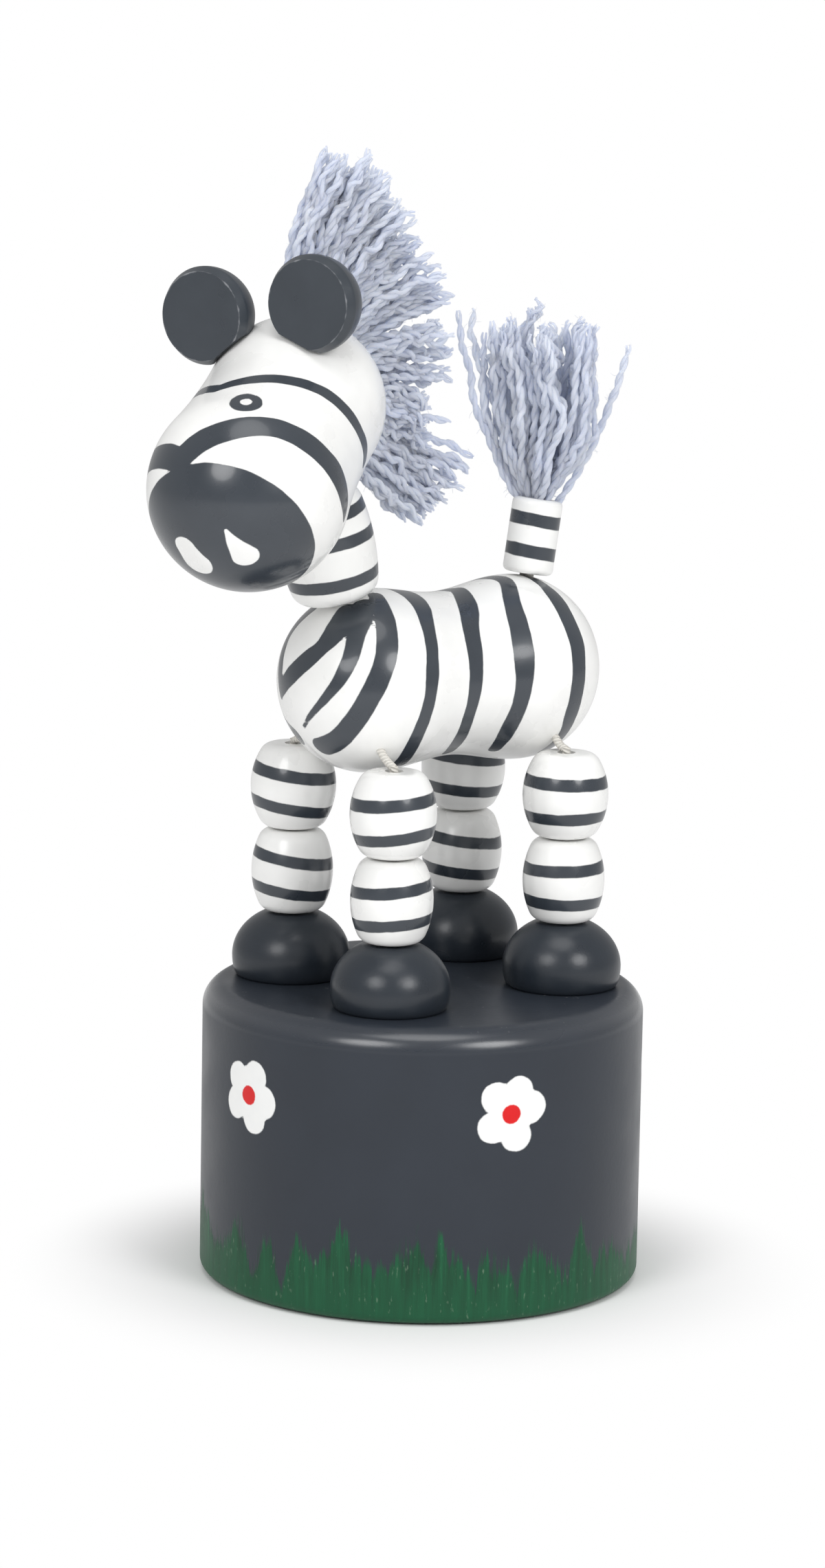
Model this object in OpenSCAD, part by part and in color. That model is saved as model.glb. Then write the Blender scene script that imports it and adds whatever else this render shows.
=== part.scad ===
// Push puppet: a wooden zebra strung on cords over a spring loaded drum.
// Sizes are millimetres. The drum stands on z = 0 with its axis on the z axis.
// The zebra looks along -y and its left side is +x.

/* [Drum] */
// Outer diameter of the drum
drum_d = 48; // [47:0.5:58]
// Height of the drum
drum_h = 31.9; // [28:0.1:40]
// Rounding of the top edge of the drum
drum_top_round = 2.6; // [1:0.1:3.2]
// Rounding of the bottom edge of the drum
drum_foot_round = 1; // [0.4:0.1:1.6]
// Thickness of the deck above the thumb well
deck_t = 6.4; // [4:0.1:8]

/* [Button] */
// Thickness of the push button
button_t = 6; // [5:0.1:7]
// Depth of the button's lower face inside the drum
button_recess = 5; // [4.2:0.1:6]
// Rim of the button outside the knot pockets
button_rim = 0.75; // [0.5:0.05:1.5]
// Radial clearance of the button in the well
button_clearance = 0.3; // [0.2:0.05:0.6]
// Diameter of the knot pockets under the button
knot_pocket_d = 4; // [3.6:0.1:4.6]
// Depth of the knot pockets
knot_pocket_t = 2.4; // [2.2:0.1:3]
// Diameter of a string knot
knot_d = 2.6; // [2.2:0.1:3]

/* [Spring] */
// Mean diameter of the return spring
spring_d = 17; // [14:0.5:19]
// Wire diameter of the return spring
spring_wire = 1; // [0.8:0.1:1.2]
// Number of curls in the return spring
spring_turns = 5; // [4:1:6]

/* [Strings] */
// Diameter of the strings
string_d = 0.9; // [0.7:0.05:1]
// Diameter of the string bores in drum, feet and leg beads
string_bore = 2; // [1.8:0.1:2.4]
// Diameter of the bores that hold two strings
pair_bore = 2.8; // [2.5:0.1:3.2]
// Sideways distance between two strings in one bore
pair_pitch = 1.1; // [1.05:0.05:1.2]
// Bend of a string where it enters a hole at an angle
string_bend = 0.6; // [0.5:0.05:0.7]
// Depth of the string hole in the head above the neck bead
head_hole = 9.5; // [8:0.1:11]
// Length of the peg that locks the strings in the head
peg_len = 3.7; // [3:0.1:5]
// Length of the rear strings inside the tail bead
tail_hold = 3.3; // [2.5:0.1:3.6]

/* [Stance] */
// Sideways shift of the zebra on the drum
stance_x = -1; // [-1.5:0.1:0.5]
// Fore and aft shift of the zebra on the drum
stance_y = 1; // [0:0.1:1.5]
// Half of the sideways distance between the legs
leg_spread = 9.6; // [9.2:0.1:10]
// Half of the fore and aft distance between the legs
leg_reach = 11.3; // [10.4:0.1:11.6]
// Gap between pieces that rest on each other
seat_gap = 0.2; // [0.1:0.05:0.3]

/* [Legs] */
// Largest diameter of a foot
foot_d = 12.9; // [11.5:0.1:13.5]
// Height of a foot
foot_h = 7; // [6.2:0.1:8]
// Diameter of the flat on top of a foot
foot_flat_d = 6; // [5:0.1:6.5]
// Height of the turned-in lower edge of a foot
foot_tuck = 2.2; // [1.5:0.1:2.8]
// Radius that the lower edge of a foot turns in
foot_tuck_in = 0.7; // [0.3:0.1:1]
// Largest diameter of a shin bead
shin_d = 8.9; // [8:0.1:9.4]
// Height of a shin bead
shin_h = 9.1; // [8:0.1:10]
// Largest diameter of a thigh bead
thigh_d = 9.3; // [8.4:0.1:9.6]
// Height of a thigh bead
thigh_h = 9.2; // [8:0.1:10]
// Diameter of the flats on the bead ends
bead_flat_d = 4.6; // [4:0.1:5]
// Rounding between the end flats and the side of a bead
bead_round = 1.5; // [1:0.1:1.7]

/* [Torso] */
// Length of the torso
torso_len = 38; // [34:0.5:42]
// Diameter at the chest
chest_d = 19.8; // [18.5:0.1:20.5]
// Diameter at the waist
waist_d = 17.8; // [16.5:0.1:18.4]
// Diameter at the rump
rump_d = 20.2; // [18.5:0.1:20.6]
// Length of the rounded ends of the torso
torso_cap = 9.5; // [8:0.1:11]
// Distance from the stance centre to the middle of the torso
torso_shift = 1; // [0:0.1:2]
// Gap between the thigh beads and the flanks
hip_gap = 0.3; // [0.2:0.05:0.5]
// Angle of the string holes below the flanks
hip_hole_angle = 42; // [38:1:46]

/* [Neck] */
// Largest diameter of the neck bead
neck_d = 10.4; // [9:0.1:11]
// Length of the neck bead
neck_h = 12; // [10:0.1:13]
// Diameter of the flats on the neck bead's ends
neck_flat_d = 6; // [5:0.1:6.4]
// Rounding between the end flats and the side of the neck bead
neck_round = 1.8; // [1.2:0.1:2]
// Forward lean of the neck bead
neck_lean = 15; // [10:1:18]
// Distance of the neck's foot in front of the stance centre
neck_forward = 12.4; // [11.5:0.1:13]

/* [Head] */
// Diameter of the back of the head
cranium_d = 19.1; // [17.5:0.1:20]
// Diameter of the muzzle
muzzle_d = 21.2; // [20:0.1:23]
// Distance between the centres of cranium and muzzle
head_reach = 14.3; // [13:0.1:16]
// Radius of the hollow between cranium and muzzle
head_waist_round = 60; // [40:1:90]
// Downward pitch of the muzzle
head_pitch = 32; // [28:1:38]
// Turn of the head to its left
head_yaw = 28; // [22:1:32]
// Tilt of the head, left side up
head_roll = 9; // [4:1:12]
// Sideways distance of the head's centre from the neck's plane
head_side = 0; // [-1:0.1:1]
// Distance of the head's centre above the neck's top
head_rise = 9.2; // [9:0.1:10.5]
// Distance of the head's centre in front of the neck's top
head_forward = 2.6; // [2:0.1:3.4]
// Clearance of the neck seat cut into the head
neck_seat_clearance = 0.9; // [0.6:0.1:1.2]

/* [Ears] */
// Diameter of an ear
ear_d = 10.4; // [9:0.1:11]
// Thickness of an ear
ear_t = 6.2; // [5.4:0.1:6.6]
// Straight rim of an ear behind its flat front
ear_rim = 1; // [0.6:0.1:1.4]
// Diameter of the flat front of an ear
ear_face_d = 9.4; // [8:0.1:9.8]
// Half of the sideways distance between the ears
ear_spread = 6.4; // [6.2:0.1:6.8]
// Height of the ears' middles above the head's centre
ear_rise = 10.6; // [10:0.1:11.4]
// Distance of the ears' middles in front of the head's centre
ear_forward = 3.1; // [2.4:0.1:3.8]
// Turn of the ears to the head's left
ear_turn = -2; // [-8:1:8]

/* [Yarn] */
// Reach of the mane above the head's centre
mane_reach = 27.5; // [24:0.5:30]
// Reach of the mane at the nape
nape_reach = 20; // [18:0.5:22]
// Thickness of the mane's fan
mane_t = 5; // [4:0.5:6]
// Shift of the mane to the head's right
mane_side = 1.2; // [0.8:0.1:1.6]
// How early the mane's reach falls off toward the nape
mane_fall = 0.5; // [0.4:0.05:1]
// Diameter of the tail tuft at its brush end
tuft_d = 17; // [12:0.5:19]
// Height of the tail tuft
tuft_h = 20; // [15:0.5:22]
// Diameter of the tail tuft where it has spread
tuft_spread_d = 12.2; // [10:0.1:13]
// Height at which the tail tuft has spread
tuft_spread_h = 8; // [6:0.1:9]
// Bare stem of the tail tuft above its bead
tuft_stem = 0.4; // [0.3:0.1:1]
// Rearward lean of the tail tuft
tuft_lean = 1; // [0:1:9]

/* [Tail] */
// Diameter of the tail bead
tail_d = 5.5; // [5:0.1:6.5]
// Length of the tail bead
tail_h = 8.2; // [7:0.1:9.5]
// Rounding of the edges of the tail bead
tail_round = 0.6; // [0.4:0.1:0.8]
// Rearward lean of the tail bead
tail_lean = 9; // [4:1:14]
// Distance of the tail's foot behind the stance centre
tail_back = 12.5; // [11.5:0.1:13.5]
// Diameter of the bore of the tail bead
tail_bore = 3; // [2.6:0.1:3.2]

/* [Hidden] */
$fn = 64;
ENDS = ["front", "rear"];
SIDES = ["left", "right"];
rim_steps = 4;
arc_steps = 8;
head_steps = 14;
torso_steps = 40;
coil_steps = 8;
cut = 0.5;
glue_gap = 0.05;

// Heights of the stack, from the drum's top to the hips
well_top = drum_h - deck_t;
leg_far = norm([abs(stance_x) + leg_spread, abs(stance_y) + leg_reach]);
button_d = 2 * leg_far + knot_pocket_d + 2 * button_rim;
well_d = button_d + 2 * button_clearance;
button_top = button_recess + button_t;
shin_z = drum_h + foot_h + seat_gap;
thigh_z = shin_z + shin_h + seat_gap;
hip_z = thigh_z + thigh_h;

// The torso lies between the thigh beads and clears the inner rims of their tops
hip_r = max(chest_d, rump_d) / 2 + hip_gap;
inner_rim = leg_spread - bead_flat_d / 2 - bead_round / 2;
torso_z = hip_z + sqrt(hip_r * hip_r - inner_rim * inner_rim);
torso_front = stance_y + torso_shift - torso_len / 2;

// Neck and tail stand on the torso's back
neck_y = stance_y - neck_forward;
neck_z = torso_z + torso_r(neck_y - torso_front) + hip_gap;
neck_dir = [0, -sin(neck_lean), cos(neck_lean)];
neck_foot = [stance_x, neck_y, neck_z];
neck_top = neck_foot + neck_h * neck_dir;
tail_y = stance_y + tail_back;
tail_z = torso_z + torso_r(tail_y - torso_front) + hip_gap;
tail_dir = [0, sin(tail_lean), cos(tail_lean)];
tail_foot = [stance_x, tail_y, tail_z];
tail_top = tail_foot + tail_h * tail_dir;

// Middle of the cranium
head_c = neck_top + [head_side, -head_forward, head_rise];
cranium_r = cranium_d / 2;
muzzle_r = muzzle_d / 2;

// Angles of the mane's root and brush, from the nape up
nape_angle = -35;
crown_angle = 96;
brush_angle = 80;

function unit(v) = v / norm(v);
function side_sign(side) = side == "left" ? 1 : -1;
function leg_x(side) = stance_x + side_sign(side) * leg_spread;
function leg_y(end) = stance_y + (end == "front" ? -leg_reach : leg_reach);
function arc(c, r, from, to, steps) =
    [for (i = [0 : steps]) let (a = from + (to - from) * i / steps) c + r * [cos(a), sin(a)]];

// Radius of the torso at a distance from its front end
function cap_r(r, s) = r * sqrt(max(0, 1 - pow(1 - s / torso_cap, 2)));
function swell(r, s) = waist_d / 2 + (r - waist_d / 2) * (1 + cos(180 * s)) / 2;
function torso_r(s) =
    let (mid = torso_len / 2)
    s < torso_cap ? cap_r(chest_d / 2, s)
    : s < mid ? swell(chest_d / 2, (s - torso_cap) / (mid - torso_cap))
    : s < torso_len - torso_cap ? swell(rump_d / 2, (torso_len - torso_cap - s) / (mid - torso_cap))
    : cap_r(rump_d / 2, torso_len - s);

// Outline of a turned bead: end flats, rounded rims and a bulging side
function bead_side_r(d, h, flat_d, rim) =
    let (a = (flat_d - d) / 2, b = h / 2 - rim)
    (a * a + b * b - rim * rim) / (-2 * (a + rim));
function bead_outline(d, h, flat_d, rim) =
    let (
        side_r = bead_side_r(d, h, flat_d, rim),
        side_c = [d / 2 - side_r, h / 2],
        rim_c = [flat_d / 2, rim],
        turn = atan2(side_c[1] - rim_c[1], rim_c[0] - side_c[0])
    )
    concat(
        [[0, 0]],
        arc(rim_c, rim, -90, -turn, rim_steps),
        arc(side_c, side_r, -turn, turn, arc_steps),
        arc([rim_c[0], h - rim], rim, turn, 90, rim_steps),
        [[0, h]]
    );

// Outline of the head along its axis: cranium, hollow and muzzle in three arcs, grown all round
head_waist_y = (pow(cranium_r + head_waist_round, 2) - pow(muzzle_r + head_waist_round, 2)
    + head_reach * head_reach) / (2 * head_reach);
head_waist_x = sqrt(pow(cranium_r + head_waist_round, 2) - head_waist_y * head_waist_y);
cranium_turn = atan2(head_waist_y, head_waist_x);
muzzle_turn = atan2(head_waist_y - head_reach, head_waist_x);
function head_outline(grow) =
    let (waist_c = [head_waist_x, head_waist_y], waist_r = head_waist_round - grow)
    concat(
        arc([0, 0], cranium_r + grow, -90, cranium_turn, head_steps),
        arc(waist_c, waist_r, 180 + cranium_turn, 180 + muzzle_turn, arc_steps),
        arc([0, head_reach], muzzle_r + grow, muzzle_turn, 90, head_steps)
    );

// Closed tube along a list of points. The reference direction is never along the tube.
function tangent(p, i) = unit(p[min(i + 1, len(p) - 1)] - p[max(i - 1, 0)]);
function ring(p, i, r, sides, ref) =
    let (t = tangent(p, i), u = unit(cross(ref, t)), w = cross(t, u))
    [for (k = [0 : sides - 1]) p[i] + r * (cos(360 * k / sides) * u + sin(360 * k / sides) * w)];
module tube(p, r, sides, ref) {
    last = (len(p) - 1) * sides;
    corners = [for (i = [0 : len(p) - 1]) each ring(p, i, r, sides, ref)];
    walls = [
        for (i = [0 : len(p) - 2], k = [0 : sides - 1])
        let (a = i * sides + k, b = i * sides + (k + 1) % sides)
        each [[a, a + sides, b], [b, a + sides, b + sides]]
    ];
    ends = concat(
        [for (k = [1 : sides - 2]) [0, k, k + 1]],
        [for (k = [1 : sides - 2]) [last, last + k + 1, last + k]]
    );
    polyhedron(corners, concat(walls, ends));
}

// Centre line of the return spring between button and deck, and its least gap to itself
spring_low = button_top + spring_wire / 2 + glue_gap;
spring_high = well_top - spring_wire / 2 - glue_gap;
spring_line = [
    for (i = [0 : spring_turns * coil_steps])
    let (a = 360 * i / coil_steps)
    [
        spring_d / 2 * cos(a),
        spring_d / 2 * sin(a),
        spring_low + (spring_high - spring_low) * i / (spring_turns * coil_steps)
    ]
];
spring_gap = min([
    for (i = [0 : len(spring_line) - 1], k = [i + coil_steps / 2 : 1 : len(spring_line) - 1])
    norm(spring_line[k] - spring_line[i]) - spring_wire
]);
echo(spring_gap = spring_gap);

// Route of one string, from the button through a leg into the torso, and on to neck or tail
function flank(end, side, r) =
    [
        stance_x + side_sign(side) * r * cos(hip_hole_angle),
        leg_y(end),
        torso_z - r * sin(hip_hole_angle)
    ];
function junction(end) = [stance_x, leg_y(end), torso_z];
function string_line(end, side) =
    let (
        x = leg_x(side),
        y = leg_y(end),
        s = side_sign(side),
        skin = torso_r(y - torso_front),
        pair = [s * pair_pitch / 2, 0, 0],
        foot = end == "front" ? neck_foot : tail_foot,
        dir = end == "front" ? neck_dir : tail_dir,
        stop = end == "front" ? neck_h + head_hole - peg_len - glue_gap : tail_hold
    )
    [
        [x, y, button_recess + knot_pocket_t + glue_gap],
        [x, y, drum_h],
        [x, y, hip_z - string_bend],
        [x - s * string_bend / 4, y, hip_z + string_bend / 4],
        [x - s * string_bend, y, hip_z + string_bend],
        flank(end, side, skin + string_bend),
        flank(end, side, skin - string_bend),
        flank(end, side, 2 * string_bend),
        junction(end) + pair + 4 * string_bend * unit(foot - junction(end)),
        foot + pair,
        foot + stop * dir + pair
    ];

module turned(outline) {
    rotate_extrude()
        polygon(outline);
}

// Bore along a direction
module bore(from, dir, length, d) {
    translate(from)
        rotate([0, acos(dir[2]), atan2(dir[1], dir[0])])
            cylinder(h = length, d = d);
}

module at_each_leg() {
    for (end = ENDS, side = SIDES)
        translate([leg_x(side), leg_y(end), 0])
            children();
}

module base_drum() {
    r = drum_d / 2;
    color("darkslategray")
        difference() {
            turned(concat(
                [[0, 0]],
                arc([r - drum_foot_round, drum_foot_round], drum_foot_round, -90, 0, rim_steps),
                arc([r - drum_top_round, drum_h - drum_top_round], drum_top_round, 0, 90, arc_steps),
                [[0, drum_h]]
            ));
            translate([0, 0, -cut])
                cylinder(h = well_top + cut, d = well_d);
            at_each_leg()
                cylinder(h = drum_h + cut, d = string_bore);
        }
}

module push_button() {
    color("burlywood")
        difference() {
            translate([0, 0, button_recess])
                cylinder(h = button_t, d = button_d);
            at_each_leg() {
                cylinder(h = button_top + cut, d = string_bore);
                translate([0, 0, button_recess - cut])
                    cylinder(h = knot_pocket_t + cut, d = knot_pocket_d);
            }
        }
}

module string_knots() {
    color("ivory")
        at_each_leg()
            translate([0, 0, button_recess + knot_pocket_t - knot_d / 2])
                sphere(d = knot_d);
}

module return_spring() {
    color("silver")
        tube(spring_line, spring_wire / 2, 6, [0, 0, 1]);
}

module leg_string(end, side) {
    color("ivory")
        tube(string_line(end, side), string_d / 2, 8, [0, 1, 0]);
}

module foot(end, side) {
    r = foot_d / 2;
    crown = foot_h - foot_tuck;
    reach = acos(foot_flat_d / foot_d);
    color("darkslategray")
        translate([leg_x(side), leg_y(end), drum_h])
            difference() {
                turned(concat(
                    [[0, 0], [r - foot_tuck_in, 0]],
                    [
                        for (i = [0 : arc_steps])
                        let (a = reach * i / arc_steps)
                        [r * cos(a), foot_tuck + crown * sin(a) / sin(reach)]
                    ],
                    [[0, foot_h]]
                ));
                translate([0, 0, -cut])
                    cylinder(h = foot_h + 2 * cut, d = string_bore);
            }
}

module leg_bead(end, side, z, d, h) {
    color("white")
        translate([leg_x(side), leg_y(end), z])
            difference() {
                turned(bead_outline(d, h, bead_flat_d, bead_round));
                translate([0, 0, -cut])
                    cylinder(h = h + 2 * cut, d = string_bore);
            }
}

// Hole for two strings, from just below the torso's axis out through its back
module pair_hole(from, to) {
    dir = unit(to - from);
    bore(from - pair_bore * dir, dir, norm(to - from) + 2 * pair_bore, pair_bore);
}

module torso() {
    outline = [for (i = [1 : torso_steps - 1]) let (s = torso_len * i / torso_steps) [torso_r(s), s]];
    color("white")
        difference() {
            translate([stance_x, torso_front, torso_z])
                rotate([-90, 0, 0])
                    turned(concat([[0, 0]], outline, [[0, torso_len]]));
            for (end = ENDS, side = SIDES)
                bore(junction(end), flank(end, side, 1) - junction(end), torso_len, string_bore);
            pair_hole(junction("front"), neck_foot);
            pair_hole(junction("rear"), tail_foot);
        }
}

module neck_bead() {
    color("white")
        translate(neck_foot)
            rotate([neck_lean, 0, 0])
                difference() {
                    turned(bead_outline(neck_d, neck_h, neck_flat_d, neck_round));
                    translate([0, 0, -cut])
                        cylinder(h = neck_h + 2 * cut, d = pair_bore);
                }
}

// The head's own frame: origin in the cranium, -y to the face, z to the crown
module head_frame() {
    translate(head_c)
        rotate([0, -head_roll, head_yaw])
            children();
}

// The turned head before its holes, grown all round
module head_blank(grow) {
    rotate([90 + head_pitch, 0, 0])
        turned(head_outline(grow));
}

module head() {
    seat_d = neck_d + 2 * neck_seat_clearance;
    color("white")
        difference() {
            head_frame()
                head_blank(0);
            bore(neck_foot, neck_dir, neck_h + seat_gap, seat_d);
            bore(neck_foot, neck_dir, neck_h + head_hole, pair_bore);
        }
}

module head_peg() {
    foot = neck_top + (head_hole - peg_len) * neck_dir;
    color("burlywood")
        bore(foot, neck_dir, peg_len - glue_gap, pair_bore - 2 * glue_gap);
}

module ear(side) {
    middle = [side_sign(side) * ear_spread, -ear_forward, ear_rise];
    color("darkslategray")
        head_frame()
            difference() {
                translate(middle)
                    rotate([90, 0, ear_turn])
                        translate([0, 0, -ear_t / 2])
                            turned([
                                [0, 0],
                                for (i = [0 : arc_steps])
                                    let (a = 90 * i / arc_steps)
                                    [ear_d / 2 * sin(a), (ear_t - ear_rim) * (1 - cos(a))],
                                [ear_face_d / 2, ear_t],
                                [0, ear_t]
                            ]);
                head_blank(glue_gap);
            }
}

module mane_tuft() {
    root_r = cranium_r + glue_gap;
    color("lightsteelblue")
        translate(head_c - [mane_t / 2 + mane_side, 0, 0])
            rotate([90, 0, 90])
                linear_extrude(mane_t)
                    polygon(concat(
                        arc([0, 0], root_r, nape_angle, crown_angle, 2 * arc_steps),
                        [
                            for (i = [0 : arc_steps])
                            let (part = i / arc_steps, a = brush_angle + (nape_angle - brush_angle) * part)
                            (mane_reach + (nape_reach - mane_reach) * pow(part, mane_fall)) * [cos(a), sin(a)]
                        ]
                    ));
}

module tail_bead() {
    flat_r = tail_d / 2 - tail_round;
    color("white")
        translate(tail_foot)
            rotate([-tail_lean, 0, 0])
                difference() {
                    turned(concat(
                        [[0, 0]],
                        arc([flat_r, tail_round], tail_round, -90, 0, rim_steps),
                        arc([flat_r, tail_h - tail_round], tail_round, 0, 90, rim_steps),
                        [[0, tail_h]]
                    ));
                    translate([0, 0, -cut])
                        cylinder(h = tail_h + 2 * cut, d = tail_bore);
                }
}

module tail_tuft() {
    root_r = tail_bore / 2 - glue_gap;
    root = tail_h - tail_hold - 2 * string_d;
    color("lightsteelblue")
        translate(tail_top) {
            rotate([-tail_lean, 0, 0])
                translate([0, 0, -root])
                    cylinder(h = root + tuft_stem, r = root_r);
            rotate([-tuft_lean, 0, 0])
                turned([
                    [0, 0],
                    [root_r, tuft_stem],
                    [tuft_spread_d / 2, tuft_spread_h],
                    [tuft_d / 2, tuft_h],
                    [0, tuft_h]
                ]);
        }
}

base_drum();
push_button();
string_knots();
return_spring();
for (end = ENDS, side = SIDES) {
    leg = str(end, "_", side);
    leg_string(end, side);
    foot(end, side);
    leg_bead(end, side, shin_z, shin_d, shin_h);
    leg_bead(end, side, thigh_z, thigh_d, thigh_h);
}
torso();
neck_bead();
head();
head_peg();
for (side = SIDES)
    ear(side);
mane_tuft();
tail_bead();
tail_tuft();
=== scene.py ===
import math

import bpy
import numpy as np
from mathutils import Matrix, Vector


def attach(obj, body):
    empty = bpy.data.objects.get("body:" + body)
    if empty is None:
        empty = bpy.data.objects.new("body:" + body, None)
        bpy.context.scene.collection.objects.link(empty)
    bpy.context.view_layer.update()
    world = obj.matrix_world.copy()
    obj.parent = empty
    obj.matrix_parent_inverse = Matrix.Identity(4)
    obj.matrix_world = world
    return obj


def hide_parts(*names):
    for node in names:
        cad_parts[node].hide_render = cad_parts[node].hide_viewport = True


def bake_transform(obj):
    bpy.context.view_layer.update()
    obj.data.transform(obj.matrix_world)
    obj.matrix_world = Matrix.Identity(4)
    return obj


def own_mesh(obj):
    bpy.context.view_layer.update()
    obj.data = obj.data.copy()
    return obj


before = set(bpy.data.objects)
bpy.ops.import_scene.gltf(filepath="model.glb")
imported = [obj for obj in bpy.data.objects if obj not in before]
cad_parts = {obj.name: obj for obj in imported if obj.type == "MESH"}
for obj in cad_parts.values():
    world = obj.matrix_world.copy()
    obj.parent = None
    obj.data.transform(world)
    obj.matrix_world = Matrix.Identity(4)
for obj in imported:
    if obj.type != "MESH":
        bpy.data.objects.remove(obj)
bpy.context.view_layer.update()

# The picture: a long lens a little above the toy, on its left front quarter, a pale floor that
# fades to white, and two soft boxes beside the camera with a weaker one above.
scene = bpy.context.scene
scene.view_settings.view_transform = "Standard"


def add_object(name, data):
    """An object in the scene for a mesh, a lamp or a camera."""
    thing = bpy.data.objects.new(name, data)
    scene.collection.objects.link(thing)
    return thing


def turned(degrees, axis):
    """A rotation about one of the axes."""
    return Matrix.Rotation(math.radians(degrees), 4, axis)


def add_node(tree, kind, inputs={}, **settings):
    """Adds a node; an input is given by its name or number, as a value or as the socket that feeds it."""
    node = tree.nodes.new(kind)
    for key, value in settings.items():
        setattr(node, key, value)
    for key, value in inputs.items():
        socket = node.inputs[key]
        if isinstance(value, bpy.types.NodeSocket):
            tree.links.new(value, socket)
        else:
            socket.default_value = value
    return node


def work_out(tree, operation, *values):
    """A sum on numbers or sockets, and the socket of its result."""
    return add_node(tree, "ShaderNodeMath", dict(enumerate(values)), operation=operation).outputs[0]


def rescale(tree, value, low, high, start=0.0, stop=1.0, ease="LINEAR"):
    """Takes a value from one range to another and holds it at both ends."""
    ends = {"From Min": low, "From Max": high, "To Min": start, "To Max": stop}
    return add_node(tree, "ShaderNodeMapRange", {"Value": value, **ends}, interpolation_type=ease).outputs[0]


def object_place(tree):
    """The place on the piece in its own frame, in metres."""
    return add_node(tree, "ShaderNodeTexCoord").outputs["Object"]


def new_material(name):
    """A material without nodes, and the tree to fill."""
    material = bpy.data.materials.new(name)
    material.use_nodes = True
    material.node_tree.nodes.clear()
    return material, material.node_tree


toy_middle = Vector((0, 0, 0.06))


def soft_box(name, bearing, height, distance, size, power):
    """A round lamp that looks at the middle of the toy; the bearing is in degrees from +X towards +Y."""
    lamp_data = bpy.data.lights.new(name, "AREA")
    lamp_data.shape = "DISK"
    lamp_data.size = size
    lamp_data.energy = power
    bearing = math.radians(bearing)
    place = Vector((distance * math.cos(bearing), distance * math.sin(bearing), height))
    aim = toy_middle - place
    lamp = add_object(name, lamp_data)
    lamp.matrix_world = Matrix.Translation(place) @ aim.to_track_quat("-Z", "Y").to_matrix().to_4x4()


camera_place, camera_turn, camera_tilt, camera_roll = (0.49149, -0.34415, 0.16713), 55.149, 79.303, 1.043
camera_data = bpy.data.cameras.new("camera")
camera_data.sensor_fit = "VERTICAL"
camera_data.sensor_height = 36
camera_data.lens = 129.45
camera_data.clip_start = 0.01
camera = add_object("camera", camera_data)
camera.matrix_world = (Matrix.Translation(camera_place) @ turned(camera_turn, "Z") @ turned(camera_tilt, "X")
                       @ turned(camera_roll, "Z"))
scene.camera = camera

soft_box("box_left", -66, 0.44, 0.66, 0.34, 1.6)
soft_box("box_right", 4, 0.44, 0.70, 0.36, 2.2)
soft_box("box_top", -35, 0.95, 0.25, 0.60, 2.1)

sky_light = 0.52
world = bpy.data.worlds.new("studio")
world.use_nodes = True
scene.world = world
tree = world.node_tree
tree.nodes.clear()
rays = add_node(tree, "ShaderNodeLightPath").outputs
seen = work_out(tree, "MAXIMUM", rays["Is Camera Ray"], rays["Is Transmission Ray"])
level = rescale(tree, seen, 0, 1, sky_light)
sky = add_node(tree, "ShaderNodeBackground", {"Color": (1, 1, 1, 1), "Strength": level})
add_node(tree, "ShaderNodeOutputWorld", {"Surface": sky.outputs[0]})

floor_half, floor_drop, fade_start, fade_end = 3.0, 0.0002, 0.025, 0.046
corners = [(x * floor_half, y * floor_half, 0) for x, y in ((-1, -1), (1, -1), (1, 1), (-1, 1))]
floor_mesh = bpy.data.meshes.new("floor")
floor_mesh.from_pydata(corners, [], [(0, 1, 2, 3)])
floor = add_object("floor", floor_mesh)
floor.location.z = -floor_drop
material, tree = new_material("pale_floor")
rays = add_node(tree, "ShaderNodeLightPath").outputs
far = add_node(tree, "ShaderNodeVectorMath", {0: object_place(tree)}, operation="LENGTH").outputs["Value"]
fade = rescale(tree, far, fade_start, fade_end, ease="SMOOTHSTEP")
matt = add_node(tree, "ShaderNodeBsdfDiffuse", {"Color": (0.93, 0.93, 0.93, 1)})
plain = add_node(tree, "ShaderNodeEmission", {"Color": (1, 1, 1, 1), "Strength": 1.0})
white_out = work_out(tree, "MULTIPLY", fade, rays["Is Camera Ray"])
both = add_node(tree, "ShaderNodeMixShader", {0: white_out, 1: matt.outputs[0], 2: plain.outputs[0]})
add_node(tree, "ShaderNodeOutputMaterial", {"Surface": both.outputs[0]})
floor_mesh.materials.append(material)


# The drum: a turned wooden cylinder with a rounded top rim, hollow from below, painted satin slate. Grass is
# dry brushed up from its foot in green, and loose five petalled flowers are dabbed on with a red heart.
def smooth(mesh, crisp=40):
    """Shades a mesh smooth, but for edges that turn by more than an angle in degrees."""
    mesh.shade_smooth()
    mesh.set_sharp_from_angle(angle=math.radians(crisp))


def turn_on_lathe(name, outline, place=Matrix.Identity(4), around=96, ring=False):
    """Spins an outline of radius and height in millimetres; a ring outline closes round a bore."""
    angle = np.linspace(0, 2 * np.pi, around, endpoint=False)
    points, rows = [], []
    for radius, height in outline:
        if radius < 1e-6:
            rows.append([len(points)] * around)
            points.append((0, 0, height))
        else:
            rows.append(list(range(len(points), len(points) + around)))
            points.extend(zip(radius * np.cos(angle), radius * np.sin(angle), [height] * around))
    faces = []
    for low, high in zip(rows, rows[1:] + ([rows[0]] if ring else [])):
        for i in range(around):
            j = (i + 1) % around
            face = list(dict.fromkeys((low[i], low[j], high[j], high[i])))
            if len(face) > 2:
                faces.append(face)
    mesh = bpy.data.meshes.new(name)
    mesh.from_pydata(points, [], faces)
    mesh.transform(Matrix.Scale(0.001, 4) @ place)
    smooth(mesh)
    return add_object(name, mesh)


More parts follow.
